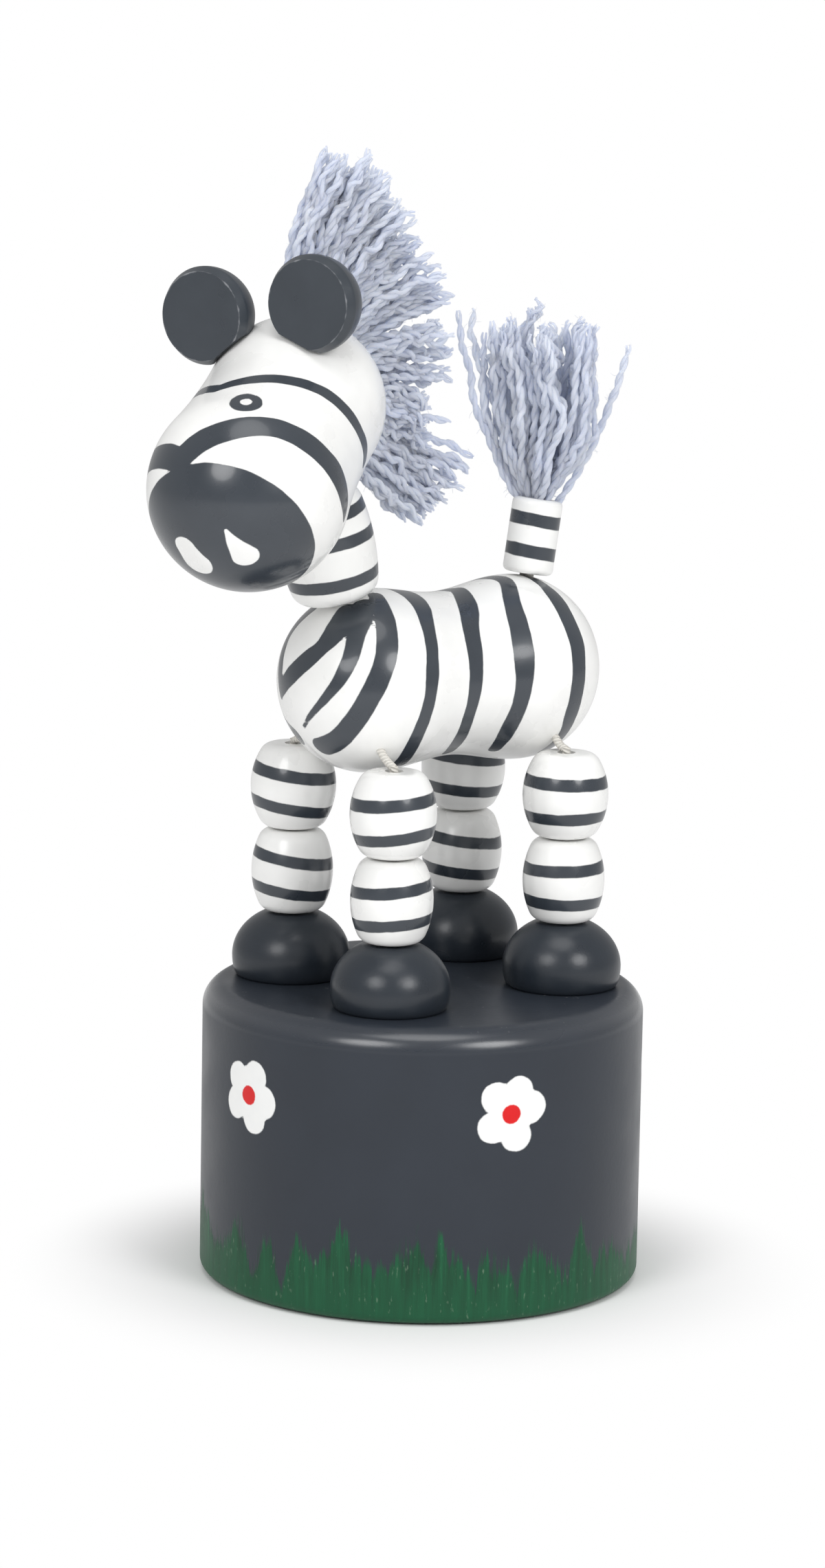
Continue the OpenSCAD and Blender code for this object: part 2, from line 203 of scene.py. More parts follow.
def fine(outline, step):
    """Adds points to an outline so that none are further apart than the step."""
    out = [outline[0]]
    for a, b in zip(outline, outline[1:]):
        count = max(1, math.ceil(math.dist(a, b) / step))
        out += [tuple(np.array(a) + (np.array(b) - np.array(a)) * k / count) for k in range(1, count + 1)]
    return out


def arc(centre, radius, start, stop, count):
    """Points on an arc, with the angles in degrees."""
    return [(centre[0] + radius * math.cos(a), centre[1] + radius * math.sin(a))
            for a in np.radians(np.linspace(start, stop, count + 1))]


def cut_away(piece, cutter):
    """Takes the cutter's volume out of a piece and removes the cutter."""
    saw = piece.modifiers.new("saw", "BOOLEAN")
    saw.operation = "DIFFERENCE"
    saw.solver = "MANIFOLD"
    saw.object = cutter
    whole = bpy.context.evaluated_depsgraph_get()
    mesh = bpy.data.meshes.new_from_object(piece.evaluated_get(whole))
    piece.modifiers.remove(saw)
    piece.data = mesh
    smooth(mesh)
    bpy.data.objects.remove(cutter)


def drill(piece, foot, along, length, diameter):
    """A straight round hole, from a foot point in millimetres along a direction."""
    turn = Vector(along).to_track_quat("Z", "Y").to_matrix().to_4x4()
    r = diameter / 2
    bit = [(0, 0), (r, 0), (r, length), (0, length)]
    cut_away(piece, turn_on_lathe("drill", bit, Matrix.Translation(foot) @ turn, 32))


def points_of(piece, place=Matrix.Identity(4)):
    """A piece's points in millimetres, in the frame that the place gives."""
    flat = np.empty(3 * len(piece.data.vertices))
    piece.data.vertices.foreach_get("co", flat)
    back = np.array((Matrix.Scale(0.001, 4) @ place).inverted())
    return flat.reshape(-1, 3) @ back[:3, :3].T + back[:3, 3]


def paint_on(piece, name, distance):
    """Stores each point's distance in millimetres to the edge of a painted shape, below zero inside it."""
    layer = piece.data.attributes.new(name, "FLOAT", "POINT")
    layer.data.foreach_set("value", np.asarray(distance, np.float32))


def capsule(points, a, b, wide_a, wide_b):
    """Distance to a brush mark between two points, whose half width runs from one value to another."""
    a, b = np.array(a, float), np.array(b, float)
    along = np.clip(((points - a) @ (b - a)) / max((b - a) @ (b - a), 1e-9), 0, 1)
    wide = wide_a + (wide_b - wide_a) * along
    return np.linalg.norm(points - a - along[:, None] * (b - a), axis=1) - wide


def vector_sum(tree, operation, inputs):
    """A sum on vectors, and the socket of its result."""
    return add_node(tree, "ShaderNodeVectorMath", inputs, operation=operation).outputs[0]


def noise(tree, place, scale, detail, roughness=0.5):
    """Cloudy noise from nought to one."""
    cloud = {"Vector": place, "Scale": scale, "Detail": detail, "Roughness": roughness}
    return add_node(tree, "ShaderNodeTexNoise", cloud).outputs["Fac"]


def mix(tree, factor, a, b, blend="MIX"):
    """Mixes two colours by a mask and gives the colour socket."""
    inputs = {0: factor, 6: a, 7: b}
    return add_node(tree, "ShaderNodeMix", inputs, data_type="RGBA", blend_type=blend).outputs[2]


def ramp(tree, value, stops):
    """Colours along a value, given as positions and colours."""
    node = add_node(tree, "ShaderNodeValToRGB", {"Fac": value})
    for element, (position, colour) in zip(node.color_ramp.elements, stops):
        element.position, element.color = position, colour
    for position, colour in stops[2:]:
        node.color_ramp.elements.new(position).color = colour
    return node.outputs[0]


def new_group(name, inputs, outputs):
    """An empty shader group of numbers, and the sockets of what it is given."""
    group = bpy.data.node_groups.new(name, "ShaderNodeTree")
    for key, value in inputs.items():
        group.interface.new_socket(key, in_out="INPUT", socket_type="NodeSocketFloat").default_value = value
    for key in outputs:
        group.interface.new_socket(key, in_out="OUTPUT", socket_type="NodeSocketFloat")
    return group, add_node(group, "NodeGroupInput").outputs


# Brush edge: turns a distance to a painted edge into a mask, with the waver of a hand held brush.
brush_edge, given = new_group(
    "brush_edge", {"Distance": 0.0, "Waver": 0.2, "Soft": 0.07, "Scale": 600.0}, ["Mask"])
hand = noise(brush_edge, object_place(brush_edge), given["Scale"], 3.0)
hand = work_out(brush_edge, "SUBTRACT", hand, 0.5)
moved = work_out(brush_edge, "MULTIPLY_ADD", hand, given["Waver"], given["Distance"])
inside = work_out(brush_edge, "MULTIPLY", given["Soft"], -1.0)
mask = rescale(brush_edge, moved, inside, given["Soft"], 1.0, 0.0, "SMOOTHSTEP")
add_node(brush_edge, "NodeGroupOutput", {"Mask": mask})

# Paint film: the skin of brushed enamel on wood, with uneven tone, uneven gloss and a little orange peel.
paint_film, given = new_group("paint_film", {"Scale": 1.0}, ["Tone", "Gloss", "Height"])
place = vector_sum(paint_film, "SCALE", {0: object_place(paint_film), "Scale": given["Scale"]})
broad = noise(paint_film, place, 160.0, 4.0)
add_node(paint_film, "NodeGroupOutput", {
    "Tone": rescale(paint_film, broad, 0.3, 0.7, 0.93, 1.04),
    "Gloss": broad,
    "Height": noise(paint_film, place, 1500.0, 2.0),
})


def film_on(tree, scale):
    """The sockets of a paint film."""
    return add_node(tree, "ShaderNodeGroup", {"Scale": scale}, node_tree=paint_film).outputs


def attribute(tree, name):
    """The value that paint_on stored."""
    return add_node(tree, "ShaderNodeAttribute", attribute_name=name).outputs["Fac"]


def brushed(tree, name, waver, soft, scale):
    """The mask of a shape that paint_on stored, inside an edge drawn by hand."""
    inputs = {"Distance": attribute(tree, name), "Waver": waver, "Soft": soft, "Scale": scale}
    return add_node(tree, "ShaderNodeGroup", inputs, node_tree=brush_edge).outputs["Mask"]


def finish_surface(tree, colour, roughness, relief, strength, depth, others={}):
    """Ends a material with its shader, which has the relief as a bump."""
    bump = add_node(tree, "ShaderNodeBump", {"Height": relief, "Strength": strength, "Distance": depth})
    inputs = {"Base Color": colour, "Roughness": roughness, "Normal": bump.outputs[0], **others}
    skin = add_node(tree, "ShaderNodeBsdfPrincipled", inputs)
    add_node(tree, "ShaderNodeOutputMaterial", {"Surface": skin.outputs[0]})


def cover(piece, material):
    """Gives the whole of a piece one material."""
    piece.data.materials.clear()
    piece.data.materials.append(material)


left_x, right_x, front_y, rear_y = 8.6, -10.6, -10.3, 12.3
legs = {"front_left": (left_x, front_y), "front_right": (right_x, front_y),
        "rear_left": (left_x, rear_y), "rear_right": (right_x, rear_y)}
# The deck ring is a row of points inside the rim that keeps the deck's shading flat.
drum_r, drum_h, drum_foot, drum_rim, deck_ring = 24.0, 31.9, 1.0, 2.6, 15.0
well_r, well_top, string_hole = 19.285, 25.5, 2.0
drum = turn_on_lathe(
    "drum",
    [(0, well_top), (well_r, well_top), (well_r, 0), (drum_r - drum_foot, 0)]
    + arc((drum_r - drum_foot, drum_foot), drum_foot, -80, 0, 8)
    + fine([(drum_r, drum_foot), (drum_r, drum_h - drum_rim)], 0.35)[1:]
    + arc((drum_r - drum_rim, drum_h - drum_rim), drum_rim, 5, 90, 18)
    + [(deck_ring, drum_h), (0, drum_h)],
    around=360,
)
for x, y in legs.values():
    drill(drum, (x, y, well_top - 1), (0, 0, 1), drum_h - well_top + 2, string_hole)

# Grass blades as bearing in degrees and height; the run repeats until it has gone round the drum.
grass_line = [
    (-107, 6.9), (-97, 5.0), (-88, 8.4), (-83, 3.7), (-76, 8.0), (-72, 2.9), (-68, 7.8), (-62, 5.5),
    (-55, 9.7), (-46, 5.0), (-35, 9.9), (-32, 6.0), (-30, 9.5), (-20.5, 4.4), (-18.5, 8.0), (-13.6, 6.4),
    (-9, 4.0), (-5, 8.0), (2, 5.5), (7, 4.5), (11, 9.3), (17, 5.0), (24, 5.7), (33, 4.2), (43, 5.6),
]
grass_start, grass_run = grass_line[0][0], 150
grass_line += [(a + turn, h) for turn in (grass_run, 2 * grass_run) for a, h in grass_line[1:]
               if a + turn < grass_start + 360] + [(grass_start + 360, grass_line[0][1])]
# Flowers as bearing and height, then the bearings of their petals in degrees from the right, upwards.
flowers = [
    (-85, 22.6, (138, 66, -8, -70, 208)),
    (-11.5, 22.7, (133, 72, 15, -77, 212)),
    (60, 23.4, (100, 30, -38, -112, 170)),
    (133, 22.2, (128, 58, -12, -84, 204)),
    (204, 23.1, (92, 22, -48, -122, 164)),
]
petal_root, petal_tip, root_wide, tip_wide, heart_r, unpainted = 0.4, 2.45, 1.5, 1.75, 1.08, 9.0
spot = points_of(drum)
bearing = np.degrees(np.arctan2(spot[:, 1], spot[:, 0]))
outside = np.hypot(spot[:, 0], spot[:, 1]) > (well_r + drum_r) / 2
blade = np.interp((bearing - grass_start) % 360 + grass_start, *zip(*grass_line))
paint_on(drum, "grass", np.where(outside, spot[:, 2] - blade, unpainted))
petal, heart = np.full(len(spot), unpainted), np.full(len(spot), unpainted)
for middle, height, petals in flowers:
    across = ((bearing - middle + 180) % 360 - 180) * math.radians(drum_r)
    flat = np.stack([across, spot[:, 2] - height], axis=1)
    for a in np.radians(petals):
        way = np.array((math.cos(a), math.sin(a)))
        petal = np.minimum(petal, capsule(flat, petal_root * way, petal_tip * way, root_wide, tip_wide))
    heart = np.minimum(heart, np.linalg.norm(flat, axis=1) - heart_r)
paint_on(drum, "petal", np.where(outside, petal, unpainted))
paint_on(drum, "heart", np.where(outside, heart, unpainted))

drum_slate = (0.025, 0.031, 0.042, 1)
material, tree = new_material("drum_paint")
film = film_on(tree, 1.0)
spot = object_place(tree)
height = add_node(tree, "ShaderNodeSeparateXYZ", {0: spot}).outputs["Z"]
upright = add_node(tree, "ShaderNodeMapping", {"Vector": spot, "Scale": (1, 1, 0.06)}).outputs[0]
strokes = noise(tree, upright, 1300.0, 5.0, 0.7)
blade = attribute(tree, "grass")
ragged = work_out(tree, "MULTIPLY_ADD", strokes, -9.0, blade)
ragged = work_out(tree, "MULTIPLY_ADD", noise(tree, upright, 380.0, 2.0), -4.0, ragged)
solid = rescale(tree, ragged, -7.3, -6.3, 1.0, 0.0)
fading = rescale(tree, blade, -2.0, 1.6, 0.9, 0.0)
bristle = rescale(tree, noise(tree, upright, 3600.0, 2.0), 0.50, 0.60)
grass = work_out(tree, "MAXIMUM", solid, work_out(tree, "MULTIPLY", fading, bristle))
calm = rescale(tree, height, 0.0, 0.007, 0.75, 0.0)
even = add_node(tree, "ShaderNodeMix", {0: calm, 2: strokes, 3: 0.58}).outputs[0]
green = ramp(tree, even, [(0.34, (0.002, 0.034, 0.014, 1)), (0.58, (0.003, 0.080, 0.031, 1)),
                          (0.80, (0.014, 0.135, 0.054, 1))])
streaky = add_node(tree, "ShaderNodeMapping", {"Vector": spot, "Scale": (1, 1, 0.35)}).outputs[0]
scuff = rescale(tree, noise(tree, streaky, 2600.0, 3.0), 0.64, 0.74, 0.0, 0.4)
green = mix(tree, scuff, green, (0.20, 0.29, 0.20, 1))
colour = mix(tree, 1.0, drum_slate, film["Tone"], "MULTIPLY")
colour = mix(tree, grass, colour, green)
blot = noise(tree, spot, 500.0, 3.0)
cream = mix(tree, blot, (0.84, 0.85, 0.85, 1), (0.93, 0.93, 0.91, 1))
petal = brushed(tree, "petal", 0.5, 0.09, 350.0)
colour = mix(tree, petal, colour, cream)
red = mix(tree, blot, (0.58, 0.002, 0.004, 1), (0.78, 0.006, 0.008, 1))
colour = mix(tree, brushed(tree, "heart", 0.35, 0.08, 500.0), colour, red)
dust = add_node(tree, "ShaderNodeTexVoronoi", {"Vector": spot, "Scale": 1100.0}).outputs["Distance"]
grain = rescale(tree, dust, 0.08, 0.16, 0.5, 0.0)
drift = rescale(tree, blot, 0.5, 0.7)
deck = rescale(tree, height, 0.0310, 0.0318)
speck = work_out(tree, "MULTIPLY", grain, work_out(tree, "MULTIPLY", drift, deck))
colour = mix(tree, speck, colour, (0.40, 0.40, 0.40, 1))
rim = work_out(tree, "SUBTRACT", rescale(tree, height, 0.0292, 0.0306), deck)
gloss = rescale(tree, film["Gloss"], 0.3, 0.7, 0.29, 0.38)
gloss = work_out(tree, "MULTIPLY_ADD", grass, 0.14, gloss)
gloss = work_out(tree, "MULTIPLY_ADD", rim, -0.08, gloss)
relief = work_out(tree, "MULTIPLY_ADD", film["Height"], 0.35, work_out(tree, "MAXIMUM", petal, grass))
finish_surface(tree, colour, gloss, relief, 0.5, 0.00006,
               {"Specular IOR Level": 0.36, "Coat Weight": rim, "Coat Roughness": 0.24})
cover(drum, material)
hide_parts("base_drum")
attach(drum, "base")

# The push button: a plain turned disc of beech in the well, with a pocket for each string's knot. The peg
# that wedges the strings in the head is cut from the same bare wood.
material, tree = new_material("bare_beech")
sawn = {"Vector": object_place(tree), "Location": (0.012, 0.031, 0.0), "Scale": (1, 0.12, 1)}
plank = add_node(tree, "ShaderNodeMapping", sawn).outputs[0]
years = {"Vector": plank, "Scale": 95.0, "Distortion": 3.5, "Detail": 3.0, "Detail Scale": 1.2}
rings = add_node(tree, "ShaderNodeTexWave", years, wave_type="BANDS", bands_direction="X").outputs["Fac"]
flecks = noise(tree, plank, 2600.0, 2.0)
wood = mix(tree, rings, (0.60, 0.40, 0.23, 1), (0.70, 0.50, 0.31, 1))
wood = mix(tree, rescale(tree, flecks, 0.58, 0.72, 0.0, 0.55), wood, (0.36, 0.21, 0.11, 1))
finish_surface(tree, wood, rescale(tree, flecks, 0, 1, 0.55, 0.75), flecks, 0.25, 0.0001)
for name in ("push_button", "head_peg"):
    cover(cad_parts[name], material)

# The return spring: bright steel wire, five open turns between two closed end turns. It stands on the button
# and bears against the deck. The toy's spring closes as the button is pressed; this one is built open and
# fixed to the base.
wire_r, coil_r, spring_low, spring_high = 0.5, 8.5, 11.0, 25.5
open_turns, closed_turns, steps = 5, 1, 36


def tube(name, route, radius, sides=8):
    """A round tube along a route in millimetres, with closed ends and a UV map along and around it."""
    route = np.array(route, float)
    ahead = np.gradient(route, axis=0)
    ahead /= np.linalg.norm(ahead, axis=1)[:, None]
    side = np.cross(ahead[0], (0.31, 0.59, 0.74))
    points = []
    for place, way in zip(route, ahead):
        side = side - way * (side @ way)
        side /= np.linalg.norm(side)
        over = np.cross(way, side)
        for k in range(sides):
            a = 2 * math.pi * k / sides
            points.append(place + radius * (math.cos(a) * side + math.sin(a) * over))
    faces = []
    for i in range(len(route) - 1):
        for k in range(sides):
            n = (k + 1) % sides
            faces.append((i * sides + k, i * sides + n, (i + 1) * sides + n, (i + 1) * sides + k))
    faces.append(tuple(range(sides))[::-1])
    faces.append(tuple(range((len(route) - 1) * sides, len(route) * sides)))
    mesh = bpy.data.meshes.new(name)
    mesh.from_pydata([tuple(p * 0.001) for p in points], [], faces)
    long = np.concatenate([[0], np.cumsum(np.linalg.norm(np.diff(route, axis=0), axis=1))])
    uv = mesh.uv_layers.new(name="along")
    for face in mesh.polygons:
        for corner in face.loop_indices:
            row, k = divmod(mesh.loops[corner].vertex_index, sides)
            turn = 1.0 if k == 0 and face.index % sides == sides - 1 else k / sides
            uv.data[corner].uv = (turn, long[row])
    smooth(mesh, 60)
    return add_object(name, mesh)


low, high = spring_low + wire_r, spring_high - wire_r
last_turn = open_turns + 2 * closed_turns
coil = []
for i in range(last_turn * steps + 1):
    turn = i / steps
    if turn < closed_turns:
        z = low + 2 * wire_r * turn
    elif turn > open_turns + closed_turns:
        z = high - 2 * wire_r * (last_turn - turn)
    else:
        z = low + 2 * wire_r + (high - low - 4 * wire_r) * (turn - closed_turns) / open_turns
    coil.append((coil_r * math.cos(2 * math.pi * turn), coil_r * math.sin(2 * math.pi * turn), z))
spring = tube("spring", coil, wire_r)
material, tree = new_material("spring_wire")
drawn = noise(tree, object_place(tree), 900.0, 4.0)
steel = mix(tree, drawn, (0.42, 0.42, 0.43, 1), (0.62, 0.62, 0.63, 1))
dull = rescale(tree, drawn, 0, 1, 0.22, 0.42)
skin = add_node(tree, "ShaderNodeBsdfPrincipled", {"Base Color": steel, "Metallic": 1.0, "Roughness": dull})
add_node(tree, "ShaderNodeOutputMaterial", {"Surface": skin.outputs[0]})
cover(spring, material)
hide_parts("return_spring")
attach(spring, "base")
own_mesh(spring)


# The feet: half domes turned from wood with a bore for the string, painted darker than the drum. Each stands
# flat on the deck over a hole and is glued there. Feet and ears share one slate paint; the feet's copy is
# darker as painted shade.
def slate_material(name, slate):
    """Satin slate paint, pale grey where the edge attribute is below zero: rubbed paint with a painted
    highlight.
    """
    material, tree = new_material(name)
    film = film_on(tree, 1.4)
    colour = mix(tree, 1.0, slate, film["Tone"], "MULTIPLY")
    # The edge mark's pale grey is rubbed paint with a painted highlight on it.
    colour = mix(tree, brushed(tree, "edge", 0.5, 0.12, 900.0), colour, (0.30, 0.31, 0.33, 1))
    gloss = rescale(tree, film["Gloss"], 0.3, 0.7, 0.27, 0.36)
    finish_surface(tree, colour, gloss, film["Height"], 0.25, 0.00004)
    return material


foot_r, foot_h, foot_tuck, foot_round, foot_top_r, unworn_unlit = 6.45, 7.0, 2.2, 0.7, 3.0, 5.0
# A darker copy of the ears' slate: the darkness is painted shade.
foot_paint_shaded = slate_material("foot_paint_shaded", (0.020, 0.026, 0.035, 1))
top = math.acos(foot_top_r / foot_r)
tuck = [(foot_r - foot_round + foot_round * math.cos(a), foot_tuck * (1 + math.sin(a)))
        for a in np.linspace(-math.pi / 2, 0, 9)[:-1]]
dome = [(foot_r * math.cos(a), foot_tuck + (foot_h - foot_tuck) * math.sin(a) / math.sin(top))
        for a in np.linspace(0, top, 28)]
foot_outline = [(string_hole / 2, 0), *tuck, *dome, (string_hole / 2, foot_h)]
for leg, (x, y) in legs.items():
    place = Matrix.Translation((x, y, drum_h))
    foot = turn_on_lathe(f"foot_{leg}_turned", foot_outline, place, ring=True)
    paint_on(foot, "edge", np.full(len(foot.data.vertices), unworn_unlit))
    cover(foot, foot_paint_shaded)
    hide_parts(f"foot_{leg}")
    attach(foot, "base")

# The leg beads: two barrels of turned wood on each leg's string, sprayed white, with two rings of dark paint
# brushed round each while it spins, so no ring is quite level.
zebra_paint, tree = new_material("zebra_paint")
film = film_on(tree, 1.0)
stripe = brushed(tree, "stripe", 0.26, 0.07, 420.0)
white = mix(tree, 1.0, (0.90, 0.90, 0.885, 1), film["Tone"], "MULTIPLY")
dark = mix(tree, film["Gloss"], (0.020, 0.027, 0.036, 1), (0.045, 0.054, 0.068, 1))
gloss = rescale(tree, film["Gloss"], 0.3, 0.7, 0.24, 0.34)
relief = work_out(tree, "MULTIPLY_ADD", film["Height"], 0.3, stripe)
finish_surface(tree, mix(tree, stripe, white, dark), gloss, relief, 0.4, 0.00004,
               {"Coat Weight": 0.4, "Coat Roughness": 0.10})


def barrel(d, h, flat_d, rim, bore, count=40):
    """Outline of a bead: a swelling side between two rounded rims, with flats and a bore at the ends."""
    a, b = (flat_d - d) / 2, h / 2 - rim
    side_r = (a * a + b * b - rim * rim) / (-2 * (a + rim))
    side_x = d / 2 - side_r
    turn = math.degrees(math.atan2(h / 2 - rim, flat_d / 2 - side_x))
    return ([(bore / 2, 0), (flat_d / 2, 0)] + arc((flat_d / 2, rim), rim, -80, -turn, 8)
            + arc((side_x, h / 2), side_r, -turn, turn, count)[1:]
            + arc((flat_d / 2, h - rim), rim, turn, 90, 8)[1:] + [(bore / 2, h)])


def ring_paint(piece, place, rings, widest_bore_r=1.6):
    """Brushed rings as height, width, tilt in degrees and the bearing of their low side, on a bead's axis."""
    spot = points_of(piece, place)
    distance = np.full(len(spot), unpainted)
    for height, width, tilt, low in rings:
        t, turn = math.radians(tilt), math.radians(low)
        up = np.array((math.sin(t) * math.cos(turn), math.sin(t) * math.sin(turn), math.cos(t)))
        distance = np.minimum(distance, np.abs((spot - (0, 0, height)) @ up) - width / 2)
    in_bore = np.hypot(spot[:, 0], spot[:, 1]) < widest_bore_r
    paint_on(piece, "stripe", np.where(in_bore, unpainted, distance))


# Each bead's rings: height, width, tilt and low side. The camera's right is at a bearing of 55 degrees.
leg_rings = {
    "shin_front_right": ((2.5, 1.25, 8, 55), (6.1, 1.25, 9, 55)),
    "thigh_front_right": ((2.5, 1.3, 9, 55), (6.2, 1.3, 8, 55)),
    "shin_rear_right": ((2.5, 1.25, 6, 55), (6.1, 1.25, 7, 55)),
    "thigh_rear_right": ((2.5, 1.3, 5, 55), (6.2, 1.3, 6, 55)),
    "shin_front_left": ((2.5, 1.25, 5, 235), (6.1, 1.25, 6, 235)),
    "thigh_front_left": ((2.5, 1.3, 7, 235), (6.2, 1.3, 5, 235)),
    "shin_rear_left": ((2.4, 1.3, 1, 55), (6.1, 1.3, 2, 235)),
    "thigh_rear_left": ((2.5, 1.3, 1, 235), (6.3, 1.3, 1, 55)),
}
bead_flat, bead_rim = 4.6, 1.5
for leg, (x, y) in legs.items():
    for part, d, h, z in (("shin", 8.9, 9.1, 39.1), ("thigh", 9.3, 9.2, 48.4)):
        place = Matrix.Translation((x, y, z))
        outline = barrel(d, h, bead_flat, bead_rim, string_hole)
        bead = turn_on_lathe(f"{part}_{leg}_turned", outline, place, ring=True)
        ring_paint(bead, place, leg_rings[f"{part}_{leg}"])
        cover(bead, zebra_paint)
        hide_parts(f"{part}_{leg}")
        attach(bead, f"{part}_{leg}")

# The torso: one peanut shape turned between centres and laid on its side, white with brushed stripes that
# run over the back and down both flanks, and a forked mark on the chest. Strings enter it at the four hips.
torso_len, torso_y, torso_z, mid_x = 38.0, -17.0, 65.678, -1.0
chest_r, waist_r, rump_r, torso_cap = 9.9, 8.9, 10.1, 9.5


def torso_radius(s):
    """The torso's radius at a distance from its front end."""
    if s < torso_cap:
        return chest_r * math.sqrt(max(0, 1 - (1 - s / torso_cap) ** 2))
    if s > torso_len - torso_cap:
        return rump_r * math.sqrt(max(0, 1 - (1 - (torso_len - s) / torso_cap) ** 2))
    half = torso_len / 2
    near, inward = (chest_r, s) if s < half else (rump_r, torso_len - s)
    t = (inward - torso_cap) / (half - torso_cap)
    return waist_r + (near - waist_r) * (1 + math.cos(math.pi * t)) / 2


def run_through(path, per=10):
    """A smooth line through points of any size, each stretch a cubic that leans on its neighbours."""
    path = [np.array(p, float) for p in path]
    path = [2 * path[0] - path[1]] + path + [2 * path[-1] - path[-2]]
    out = []
    for a, b, c, d in zip(path, path[1:], path[2:], path[3:]):
        bend, twist = 2 * a - 5 * b + 4 * c - d, 3 * b - a - 3 * c + d
        out += [0.5 * (2 * b + (c - a) * t + bend * t * t + twist * t ** 3) for t in np.arange(per) / per]
    return out + [path[-2]]


def brush_line(spot, path):
    """Distance to a brushed line whose points hold x, y, z and half width in millimetres."""
    distance = np.full(len(spot), unpainted)
    for a, b in zip(path, path[1:]):
        middle, span = (a[:3] + b[:3]) / 2, np.linalg.norm(b[:3] - a[:3]) / 2 + 5
        near = np.linalg.norm(spot - middle, axis=1) < span
        if near.any():
            distance[near] = np.minimum(distance[near], capsule(spot[near], a[:3], b[:3], a[3], b[3]))
    return distance


place = Matrix.Translation((mid_x, torso_y, torso_z)) @ turned(-90, "X")
end_cap = [torso_cap * (1 - math.cos(a)) for a in np.linspace(0, math.pi / 2, 34)]
waist = list(np.linspace(torso_cap, torso_len - torso_cap, 60))
along = end_cap + waist[1:] + [torso_len - s for s in end_cap[-2::-1]]
torso = turn_on_lathe("torso_turned", [(torso_radius(s), s) for s in along], place, 200)

# Stripes of the left flank: degrees down from the ridge of the back, distance from the front end, half width.
flank = {
    "shoulder": [(14, 8.9, .75), (38, 7.7, 1.0), (53, 6.9, 1.1), (67.5, 6.05, 1.1), (80, 5.05, 1.1),
                 (102, 3.75, 1.05), (130, 2.9, 1.1), (148, 2.6, 1.15), (161, 2.5, 1.15)],
    "rib": [(12, 13.5, 1.3), (28, 13.3, 1.1), (47, 12.5, .87), (63, 11.95, .78), (78, 11.45, .85),
            (93, 11.05, .77), (107, 10.6, .8), (125, 10.2, .87), (148, 10.35, 1.0)],
    "girth": [(2.5, 21.0, .85), (26, 19.8, 1.1), (46, 18.5, 1.0), (64, 17.95, .95), (79, 17.7, .9),
              (96, 17.4, .8), (112, 17.15, .78), (135, 17.15, .85), (150, 17.3, .7)],
    "loin": [(9, 26.4, .8), (33, 24.8, .9), (52, 24.05, 1.05), (72, 23.75, 1.15), (89, 23.6, 1.0),
             (105, 23.3, .9), (124, 22.9, .9), (148, 23.0, .65)],
    "rump": [(17, 30.2, .75), (32, 30.4, 1.05), (51, 30.5, 1.1), (66, 30.8, 1.1), (82, 30.7, 1.0),
             (97, 30.5, 1.0), (113, 30.3, 1.0), (133, 30.4, .75), (150, 29.8, .85)],
}
# The chest's marks as x and z from the torso's axis, and half width.
chest = [
    [(2.9, 8.2, 1.3), (3.5, 6.6, 1.4), (3.05, 4.65, 1.0), (1.35, 2.8, 1.1), (-1.5, 0.3, .95),
     (-2.9, -1.3, .4)],
    [(-2.9, -1.5, .35), (-3.4, 1.0, .85), (-4.1, 3.2, 1.0), (-4.3, 5.0, 1.05), (-2.8, 7.8, 1.1)],
    [(4.9, 7.6, 1.0), (5.6, 6.1, 1.0), (6.15, 4.6, .95), (6.25, 3.0, .85), (5.8, 1.3, .72),
     (4.5, -0.7, .5), (2.2, -3.0, .29), (0.9, -4.2, .17)],
    [(3.7, 8.7, 1.5), (4.0, 7.7, 1.4), (4.3, 7.0, 1.2)],
]
brush_press, right_slip = 1.08, -0.5


def on_flank(mark, side, slip=0.0):
    """A stripe's point on the torso, in the lathe's frame."""
    down, s, half = mark
    r, a = torso_radius(s + slip), math.radians(down) * side
    return (r * math.sin(a), -r * math.cos(a), s + slip, brush_press * half)


def on_chest(mark):
    """A chest mark's point on the front end, in the lathe's frame."""
    x, z, half = mark
    return (x, -z, torso_cap * (1 - math.sqrt(max(0, 1 - (x * x + z * z) / chest_r ** 2))), half)


# The right flank's stripes sit a little further forward. All but the shoulder's join over the back.
paths = [[on_chest(m) for m in marks] for marks in chest]
for name, marks in flank.items():
    left, right = [on_flank(m, 1) for m in marks], [on_flank(m, -1, right_slip) for m in marks]
    paths += [left, right] if name == "shoulder" else [left[::-1] + right]
spot = points_of(torso, place)
paint_on(torso, "stripe", np.minimum.reduce([brush_line(spot, run_through(path)) for path in paths]))
cover(torso, zebra_paint)
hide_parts("torso")
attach(torso, "torso")

# The neck: a taller bead that leans forward on the torso's shoulder, with three brushed rings, held between
# torso and head by the front pair of strings.
neck_foot, neck_lean, neck_h, neck_d = (-1, -11.4, 75.006), 15, 12.0, 10.4
neck_flat, neck_rim, neck_bore = 6.0, 1.8, 2.8
neck_place = Matrix.Translation(neck_foot) @ turned(neck_lean, "X")
outline = barrel(neck_d, neck_h, neck_flat, neck_rim, neck_bore)
neck = turn_on_lathe("neck_turned", outline, neck_place, ring=True)
ring_paint(neck, neck_place, ((2.6, 1.35, 1, 55), (7.1, 1.35, 2, 55), (9.9, 1.25, 1, 235)))
cover(neck, zebra_paint)
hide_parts("neck_bead")
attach(neck, "neck")

# The head: a pear shape turned in one piece, cranium and muzzle, tilted down and turned to its left, with a
# seat cut for the neck. Stripes, eyes, a dark muzzle and white nostrils are painted by hand.
head_c = Vector((-1, -17.106, 95.797))
head_turn = turned(28, "Z") @ turned(-9, "Y")
head_place = Matrix.Translation(head_c) @ head_turn @ turned(122, "X")
cranium_r, muzzle_r, head_reach, head_waist = 9.55, 10.6, 14.3, 60.0
seat_gap, seat_deep = 0.9, 0.2


